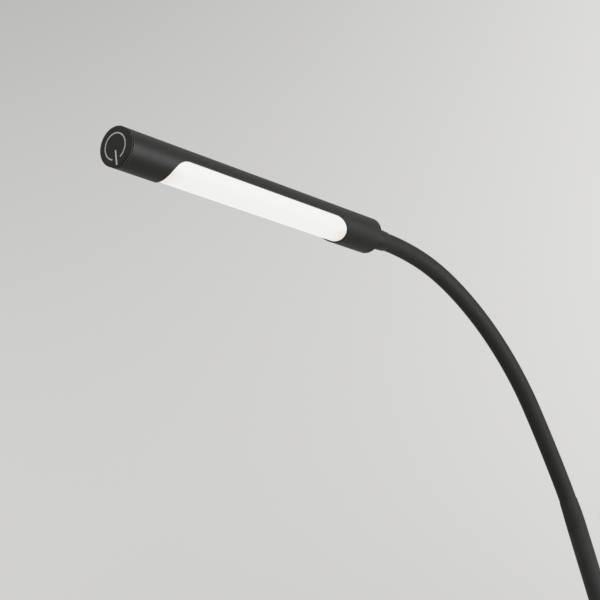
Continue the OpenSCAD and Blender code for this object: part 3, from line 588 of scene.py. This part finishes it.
neck = {
    "stretches": [6, 34, 66, 66, 66, 42, 32, 8, 27],  # mm along the neck, from the pole up
    "bends": [0, 9, 5, 23, 23, 18, 8, 4, 0],  # degrees of bend in each stretch
    "firstJoint": 0.012,
    "lastJoint": 0.028,  # from the last joint to the head
    "links": 15,
    "ringStep": 0.0011,
    "boreShare": 3,  # rings of a hose's skin for each ring of its bore
}
poleTop = Vector((0, 0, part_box("pole_upper")[1][2]))
neckLength = sum(neck["stretches"]) / 1000


# point, lean and curve at a distance along the neck
def onNeck(distance):
    spot, lean, left = poleTop.copy(), 0.0, distance
    for length, bend in zip(neck["stretches"], neck["bends"]):
        length, bend = length / 1000, math.radians(bend)
        part = min(length, left)
        turn = bend * part / length
        if turn:
            radius = length / bend
            here, there = (math.cos(lean), math.sin(lean)), (math.cos(lean + turn), math.sin(lean + turn))
            spot += radius * Vector((there[0] - here[0], 0, there[1] - here[1]))
        else:
            spot += part * Vector((-math.sin(lean), 0, math.cos(lean)))
        lean += turn
        left -= part
        if left < 1e-9:
            break
    return spot, lean, bend / length


def stretchEnds():
    ends, reached = [], 0
    for length in neck["stretches"]:
        reached += length / 1000
        ends.append(reached)
    return ends


# distances from first to last in equal steps that also stop where the bend changes
def neckStops(first, last, step):
    marks = [first] + [e for e in stretchEnds() if first + 1e-6 < e < last - 1e-6] + [last]
    stops = [first]
    for start, end in zip(marks, marks[1:]):
        count = max(1, round((end - start) / step))
        stops += [start + (end - start) * (i + 1) / count for i in range(count)]
    return stops


# draws the selected ring on along the neck, up or down, with a radius for each stop
def sweepAlong(stops, radii):
    for i in range(1, len(stops)):
        here, there = onNeck(stops[i - 1]), onNeck(stops[i])
        curve = onNeck((stops[i - 1] + stops[i]) / 2)[2]
        if abs(curve) > 1e-6:
            inward = Vector((-math.cos(here[1]), 0, -math.sin(here[1])))
            bpy.ops.mesh.spin(steps=1, angle=here[1] - there[1], center=here[0] + inward / curve,
                              axis=(0, -1, 0))
        else:
            bpy.ops.mesh.extrude_region_move(TRANSFORM_OT_translate={"value": there[0] - here[0]})
        if abs(radii[i] - radii[i - 1]) > 1e-7:
            bpy.ops.transform.resize(value=[radii[i] / radii[i - 1]] * 3, center_override=there[0])


# a hose's skin goes up the neck through the stops, and its bore, if any, comes back down
def addHose(name, stops, radii, bore, sides):
    spot, lean, _ = onNeck(stops[0])
    deselectAll()
    bpy.ops.mesh.primitive_circle_add(vertices=sides, radius=radii[0], location=spot,
                                      rotation=(0, -lean, 0))
    hose = newest(name)
    bakePlace(hose)
    editMesh(hose)
    bpy.ops.mesh.select_all(action="SELECT")
    if not bore:
        bpy.ops.mesh.edge_face_add()
        bpy.ops.mesh.select_all(action="SELECT")
    sweepAlong(stops, radii)
    if bore:
        back = neckStops(stops[0], stops[-1], neck["ringStep"] * neck["boreShare"])[::-1]
        bpy.ops.mesh.extrude_region_move()
        bpy.ops.transform.resize(value=[bore / radii[-1]] * 3, center_override=onNeck(stops[-1])[0])
        sweepAlong(back, [bore] * len(back))
        bpy.ops.mesh.select_all(action="SELECT")
        bpy.ops.mesh.region_to_loop()
        bpy.ops.mesh.bridge_edge_loops()
    closeUp(hose)
    smooth(hose)
    return hose


# sleeve and lead have one piece across each joint of the neck
sleeve = {
    "radius": 0.007,
    "bore": 0.0057,
    "start": 0.002,
    "end": 0.345,
    "collarTip": 0.325,  # where the collar begins
    "sides": 64,
}
lead = {"radius": 0.0013, "sides": 16, "step": 0.003}
pitch = (neckLength - neck["firstJoint"] - neck["lastJoint"]) / neck["links"]
joints = [neck["firstJoint"] + pitch * k for k in range(neck["links"] + 1)]
middles = [(near + far) / 2 for near, far in zip(joints, joints[1:])]


def crossJoint(piece, start, end):
    near, far = onNeck(start)[0], onNeck(end)[0]
    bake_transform(piece)


for k in range(len(joints)):
    bendStart = middles[k - 1] if k else sleeve["start"]
    bendEnd = middles[k] if k < len(middles) else sleeve["collarTip"]
    last = bendEnd if k < len(middles) else sleeve["end"]
    stops = neckStops(bendStart, last, neck["ringStep"])
    radii = [sleeve["radius"]] * len(stops)
    part = addHose("neckSleeve%02d" % (k + 1), stops, radii, sleeve["bore"], sleeve["sides"])
    dress(part, None, "neck_sleeve")
    crossJoint(part, bendStart, bendEnd)
    leadStart = bendStart if k else 0
    leadEnd = bendEnd if k < len(middles) else neckLength
    stops = neckStops(leadStart, leadEnd, lead["step"])
    radii = [lead["radius"]] * len(stops)
    part = addHose("neckLead%02d" % (k + 1), stops, radii, 0, lead["sides"])
    dress(part, None, "neck_lead")
    crossJoint(part, bendStart, bendEnd)
print("sleeve and lead modelled")

# soft cuff at the pole's top
cuff = {
    "foot": 0.008,
    "slim": 0.00055,  # how much smaller its radius is at its lip
    "length": 0.0255,
    "lip": 0.003,
    "lipRings": 6,
    "edge": 0.00729,
    "bore": 0.00713,
    "sides": 72,
}


def cuffRadius(distance):
    tip = cuff["length"] - cuff["lip"]
    side = cuff["foot"] - cuff["slim"] * min(distance / tip, 1) ** 2
    along = max(0, distance - tip) / cuff["lip"]
    return cuff["edge"] + (side - cuff["edge"]) * math.sqrt(max(0, 1 - along ** 2))


stops = neckStops(0, cuff["length"] - cuff["lip"], neck["ringStep"])
for ring in range(1, cuff["lipRings"] + 1):
    turn = math.radians(90 * ring / cuff["lipRings"])
    stops.append(cuff["length"] - cuff["lip"] * (1 - math.sin(turn)))
softCuff = addHose("softCuff", stops, [cuffRadius(s) for s in stops], cuff["bore"], cuff["sides"])
dress(softCuff, None, "neck_lower_cuff")
crossJoint(softCuff, sleeve["start"], middles[0])
print("cuff modelled")

# the head's tube, with its window and the hole over the set screw
head = {
    "radius": 14,
    "bore": 13,
    "start": seam["end"],  # distances in mm from the button's face
    "length": 277,
    "edge": 0.3,
    "windowStart": 42,
    "windowEnd": 238,
    "windowDrop": 2.4,
    "windowArc": 18,
    "windowEdge": 0.12,
    "ringStep": 3,  # between the rings that keep the tube's shading even around the window
    "screwPlace": 272.5,
    "screwHole": 1.6,
    "screwReach": (8, 20),  # from the head's axis to either end of the hole's cutter
    "cutterWidth": 40,  # of the window's cutter
    "sides": 192,
}
axisZ = (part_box("power_button")[0][2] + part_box("power_button")[1][2]) / 2
face = Vector((faceX, 0, axisZ))
backwards, upwards = Vector((1, 0, 0)), Vector((0, 0, 1))

edge, step = head["edge"], head["ringStep"]
outline = roundCorner(head["start"] + edge, head["radius"] - edge, edge, 180, 90, steps=3)
rings = [head["start"] + 2 * edge, *range(2 * step, head["length"] - step, step), head["length"] - 2 * edge]
outline += [(distance, head["radius"]) for distance in rings]
outline += roundCorner(head["length"] - edge, head["radius"] - edge, edge, 90, 0, steps=3)
outline += [(head["length"], head["bore"]), (head["start"], head["bore"])]
headShell = turnPiece("headShell", face, backwards, outline, sides=head["sides"], bored=True)

# the window's cutter is a cylinder across the tube, with its two halves moved apart
rise = head["radius"] - head["windowDrop"]
windowReach = math.sqrt(head["windowArc"] ** 2 - (head["windowArc"] - rise) ** 2)
arcStart, arcEnd = head["windowStart"] + windowReach, head["windowEnd"] - windowReach
arcMiddle = face + Vector((arcStart, 0, -head["windowDrop"] - head["windowArc"])) / 1000
deselectAll()
bpy.ops.mesh.primitive_cylinder_add(vertices=head["sides"], radius=head["windowArc"] / 1000,
                                    depth=head["cutterWidth"] / 1000, location=arcMiddle,
                                    rotation=degrees(90, 0, 0))
windowCutter = newest("windowCutter")
bakePlace(windowCutter)
editMesh(windowCutter, "VERT")
pick(windowCutter, "VERT", lambda p: p.x > arcMiddle.x + 1e-6)
bpy.ops.transform.translate(value=((arcEnd - arcStart) / 1000, 0, 0))
bpy.ops.object.mode_set(mode="OBJECT")
cutAway(headShell, windowCutter)
screwSpot = face + backwards * head["screwPlace"] / 1000
outline = [(reach, head["screwHole"]) for reach in head["screwReach"]]
cutAway(headShell, turnPiece("screwCutter", screwSpot, upwards, outline, sides=48))
applyModifier(headShell, "BEVEL", width=head["windowEdge"] / 1000, segments=2, limit_method="ANGLE",
              angle_limit=math.radians(50), use_clamp_overlap=False)
smooth(headShell, angle=15)
dress(headShell, "head", "head_tube")
print("head tube modelled")

# the button's cap, its stem and the symbol let into its face
button = {
    "radius": 14,
    "depth": seam["start"],
    "frontEdge": 0.4,
    "rearEdge": 0.2,
    "stem": 4,
    "groove": 3.2,
    "groovePlay": 0.05,
    "symbolRadius": 9.15,
    "symbolLine": 0.85,
    "symbolDepth": 0.4,
    "symbolPlay": 0.05,
    "symbolSteps": 96,
    "symbolOpening": 44,  # degrees left open at the bar
    "symbolTurn": 8,
    "barStart": 2.8,
    "barEnd": 13.2,
    "barSpread": 1.5,  # how much wider the bar is at its outer end
}
clipStart, clipEnd = [(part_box("button_clip")[i][0] - faceX) * 1000 for i in (0, 1)]
stemEnd = (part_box("power_button")[1][0] - faceX) * 1000
grooveStart, grooveEnd = clipStart - button["groovePlay"], clipEnd + button["groovePlay"]
edge, rearEdge = button["frontEdge"], button["rearEdge"]
outline = roundCorner(edge, button["radius"] - edge, edge, 180, 90)
outline += roundCorner(button["depth"] - rearEdge, button["radius"] - rearEdge, rearEdge, 90, 0, steps=3)
outline += [(button["depth"], button["stem"]), (grooveStart, button["stem"])]
outline += [(grooveStart, button["groove"]), (grooveEnd, button["groove"])]
outline += [(grooveEnd, button["stem"]), (stemEnd, button["stem"])]
buttonCap = turnPiece("buttonCap", face, backwards, outline, sides=128)


# broken ring and bar, reaching from in front of the button's face to a depth behind it, in mm
def addSymbol(name, line, before, depth):
    barAngle = 180 - button["symbolTurn"]
    opening = button["symbolOpening"]
    middle = face + Vector(((depth - before) / 2, 0, button["symbolRadius"])) / 1000
    deselectAll()
    bpy.ops.mesh.primitive_plane_add(size=0.001, location=middle, rotation=degrees(90, 0, 0))
    ring = newest(name)
    bakePlace(ring)
    editMesh(ring, "FACE")
    bpy.ops.mesh.select_all(action="SELECT")
    bpy.ops.transform.resize(value=(depth + before, 1, line), center_override=middle)
    turn = math.radians(barAngle + opening / 2)
    bpy.ops.transform.rotate(value=turn, orient_axis="X", center_override=face)
    bpy.ops.mesh.spin(steps=button["symbolSteps"], angle=math.radians(360 - opening), center=face,
                      axis=(1, 0, 0))
    closeUp(ring)
    first, last = button["barStart"], button["barEnd"]
    middle = face + Vector(((depth - before) / 2, 0, -(first + last) / 2)) / 1000
    deselectAll()
    bpy.ops.mesh.primitive_cube_add(size=0.001, location=middle)
    bar = newest(name + "Bar")
    bakePlace(bar)
    editMesh(bar, "VERT")
    bpy.ops.mesh.select_all(action="SELECT")
    bpy.ops.transform.resize(value=(depth + before, line, last - first), center_override=middle)
    pick(bar, "VERT", lambda p: p.z < middle.z)
    bpy.ops.transform.resize(value=(1, button["barSpread"], 1), center_override=middle)
    bpy.ops.mesh.select_all(action="SELECT")
    turn = math.radians(-button["symbolTurn"])
    bpy.ops.transform.rotate(value=turn, orient_axis="X", center_override=face)
    closeUp(bar)
    makeActive(ring)
    bar.select_set(True)
    bpy.ops.object.join()
    return ring


play, line, depth = button["symbolPlay"], button["symbolLine"], button["symbolDepth"]
cutAway(buttonCap, addSymbol("symbolCutter", line + 2 * play, before=1, depth=depth))
smooth(buttonCap)
dress(buttonCap, "button", "power_button")
buttonSymbol = addSymbol("buttonSymbol", line, before=0, depth=depth - play)
smooth(buttonSymbol)
dress(buttonSymbol, "button", "button_symbol")

# the spring behind the cap is one wire, wound by the screw modifier
spring = {"radius": 5.7, "wire": 0.4, "wireSides": 12, "turns": 4, "turnSteps": 40}
springStart, springEnd = [(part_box("button_spring")[i][0] - faceX) * 1000 for i in (0, 1)]
springRise = springEnd - springStart - 2 * spring["wire"]
deselectAll()
bpy.ops.mesh.primitive_circle_add(vertices=spring["wireSides"], radius=spring["wire"] / 1000,
                                  location=(0, 0, 0), rotation=degrees(90, 0, 0))
buttonSpring = newest("buttonSpring")
bakePlace(buttonSpring)
editMesh(buttonSpring, "VERT")
bpy.ops.mesh.select_all(action="SELECT")
bpy.ops.transform.translate(value=(0, 0, spring["radius"] / 1000))
bpy.ops.object.mode_set(mode="OBJECT")
applyModifier(buttonSpring, "SCREW", axis="X", angle=spring["turns"] * 2 * math.pi,
              steps=spring["turnSteps"] * spring["turns"], screw_offset=springRise / 1000,
              use_merge_vertices=False)
buttonSpring.location = face + backwards * (springStart + spring["wire"]) / 1000
bakePlace(buttonSpring)
editMesh(buttonSpring, "VERT")
bpy.ops.mesh.select_all(action="SELECT")
bpy.ops.mesh.fill_holes(sides=0)
closeUp(buttonSpring)
smooth(buttonSpring, angle=60)
dress(buttonSpring, None, "button_spring")
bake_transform(buttonSpring)
print("button modelled")

# rear cap with its bosses and long screws, and the hole for the set screw
rear = {
    "depth": 9,
    "radius": 12.9,
    "thread": 4,
    "edge": 0.3,
    "screwUp": 6.8,
    "screwOut": 8.2,
    "headRadius": 2.1,
    "shankRadius": 1.25,
    "tipLength": 0.5,
    "tipTaper": 0.3,
    "play": 0.05,
    "holeLength": 25,
    "bossRoot": 1,  # how far the bosses go into the cap
    "socketWidth": 1.5,
    "socketDepth": 1.3,
    "setHole": 1.55,
    "setReach": (9.5, 14),  # from the head's axis to either end of the set screw's hole
}
capStart = head["length"] - rear["depth"]
edge = rear["edge"]
outline = [(capStart, rear["thread"]), (capStart, rear["radius"])]
outline += roundCorner(head["length"] - edge, rear["radius"] - edge, edge, 90, 0, steps=3)
outline += [(head["length"], rear["thread"])]
rearCap = turnPiece("rearCap", face, backwards, outline, sides=128, bored=True)
bossStart = (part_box("rear_cap")[0][0] - faceX) * 1000
screwEnd = (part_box("rear_cap_screws")[0][0] - faceX) * 1000
headDepth = rear["headRadius"] - rear["shankRadius"]


# a countersunk screw that runs from the head's rear end inwards, or the hole for it where it is wider
def addCapScrew(name, side, wider, length, before=0.0):
    spot = face + Vector((head["length"] - rear["play"], side * rear["screwOut"], rear["screwUp"])) / 1000
    big, small = rear["headRadius"] + wider, rear["shankRadius"] + wider
    outline = [(-before, big)] if before else []
    outline += [(0, big), (headDepth, small), (length - rear["tipLength"], small)]
    outline += [(length, small - rear["tipTaper"])]
    return turnPiece(name, spot, -backwards, outline, sides=48)


for number, side in enumerate((-1, 1)):
    bossSpot = face + Vector((0, side * rear["screwOut"], rear["screwUp"])) / 1000
    outline = [(bossStart, rear["headRadius"]), (capStart + rear["bossRoot"], rear["headRadius"])]
    boss = turnPiece("boss", bossSpot, backwards, outline, sides=48)
    applyModifier(rearCap, "BOOLEAN", operation="UNION", solver="EXACT", object=boss)
    bpy.data.objects.remove(boss, do_unlink=True)
    cutAway(rearCap, addCapScrew("screwHole", side, rear["play"], rear["holeLength"], before=1))
    screw = addCapScrew("capScrew%d" % (number + 1), side, 0, head["length"] - rear["play"] - screwEnd)
    deselectAll()
    socketSpot = bossSpot + backwards * (head["length"] - rear["play"]) / 1000
    bpy.ops.mesh.primitive_cylinder_add(vertices=6, radius=rear["socketWidth"] / math.sqrt(3) / 1000,
                                        depth=2 * rear["socketDepth"] / 1000, rotation=degrees(0, 90, 0),
                                        location=socketSpot)
    socket = newest("socketCutter")
    bakePlace(socket)
    cutAway(screw, socket)
    smooth(screw)
    dress(screw, "head", "rear_cap_screws")
outline = [(reach, rear["setHole"]) for reach in rear["setReach"]]
cutAway(rearCap, turnPiece("setHole", screwSpot, upwards, outline, sides=48))
# the cuts leave narrow strips open, which are filled
editMesh(rearCap, "VERT")
bpy.ops.mesh.select_all(action="SELECT")
bpy.ops.mesh.fill_holes(sides=0)
closeUp(rearCap)
smooth(rearCap)
dress(rearCap, "head", "rear_cap")

# stiff collar where the neck meets the head
collar = {"wide": 8.65, "narrow": 7.65, "length": 22, "bore": 7.1, "lip": 0.45, "foot": 0.15}
foot, lip = collar["foot"], collar["lip"]
outline = roundCorner(foot, collar["wide"] - foot, foot, 180, 90, steps=2)
outline += roundCorner(collar["length"] - lip, collar["narrow"] - lip, lip, 90, 0, steps=4)
outline += [(collar["length"], collar["bore"]), (0, collar["bore"])]
headRear = face + backwards * head["length"] / 1000
neckCollar = turnPiece("neckCollar", headRear, backwards, outline, sides=96, bored=True)
smooth(neckCollar)
dress(neckCollar, "head", "neck_upper_collar")
print("rear end modelled")

# three equal tubes make the pole
pole = {"radius": 8, "bore": 6.8, "edge": 0.3}
lowest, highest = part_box("pole_lower")[0][2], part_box("pole_lower")[1][2]
tubeLength = (highest - lowest) * 1000
edge = pole["edge"]
outline = roundCorner(edge, pole["radius"] - edge, edge, 180, 90, steps=3)
outline += roundCorner(tubeLength - edge, pole["radius"] - edge, edge, 90, 0, steps=3)
outline += [(tubeLength, pole["bore"]), (0, pole["bore"])]
poleTube = turnPiece("poleLower", (0, 0, lowest), upwards, outline, sides=96, bored=True)
smooth(poleTube)
# the tubes take the pole's lighter copy of the powder coat, whose extra lightness is painted light
for name, node, step in (("poleMiddle", "pole_middle", 1), ("poleUpper", "pole_upper", 2)):
    upperTube = copyPiece(poleTube, name, (0, 0, step * tubeLength / 1000))
    dress(upperTube, "stand", node, look="pole_coat_painted_lighter")
dress(poleTube, "stand", "pole_lower", look="pole_coat_painted_lighter")

# pressed base cover with the hole for the cord's grommet
base = {
    "radius": 115,
    "wall": 1.5,
    "bottom": 1.5,
    "height": 20,
    "topRound": 5,
    "rim": 0.3,
    "poleHole": 5.1,
    "cordPlace": 9.5,
    "cordHole": 4.05,
    "cordReach": (108, 120),  # from the middle of the base to either end of the hole's cutter
}
middle = (base["height"] - base["topRound"], base["radius"] - base["topRound"])
outline = [(base["bottom"], base["radius"] - base["rim"]), (base["bottom"] + base["rim"], base["radius"])]
outline += roundCorner(*middle, base["topRound"], 90, 0, steps=10)
outline += [(base["height"], base["poleHole"]), (base["height"] - base["wall"], base["poleHole"])]
outline += roundCorner(*middle, base["topRound"] - base["wall"], 0, 90, steps=6)
outline += [(base["bottom"], base["radius"] - base["wall"])]
baseCover = turnPiece("baseCover", (0, 0, 0), upwards, outline, sides=192, bored=True)
cordSpot = Vector((0, 0, base["cordPlace"])) / 1000
outline = [(reach, base["cordHole"]) for reach in base["cordReach"]]
cutAway(baseCover, turnPiece("cordCutter", cordSpot, backwards, outline, sides=48))
smooth(baseCover)
dress(baseCover, "stand", "base_cover")

# rubber grommet with two flanges, one each side of the cover
grommet = {"bore": 2.6, "barrel": 4, "flange": 5.2, "thickness": 1.5, "round": 0.6}
innerEnd, outerEnd = [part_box("cord_grommet")[i][0] * 1000 for i in (0, 1)]
flange, thick, soft = grommet["flange"], grommet["thickness"], grommet["round"]
outline = [(innerEnd, flange), (innerEnd + thick, flange), (innerEnd + thick, grommet["barrel"]),
           (outerEnd - thick, grommet["barrel"]), (outerEnd - thick, flange)]
outline += roundCorner(outerEnd - soft, flange - soft, soft, 90, 0)
outline += roundCorner(outerEnd - soft / 2, grommet["bore"] + soft / 2, soft / 2, 0, -90, steps=3)
outline += [(innerEnd, grommet["bore"])]
cordGrommet = turnPiece("cordGrommet", cordSpot, backwards, outline, sides=64, bored=True)
smooth(cordGrommet)
dress(cordGrommet, "stand", "cord_grommet")
print("pole and base modelled")
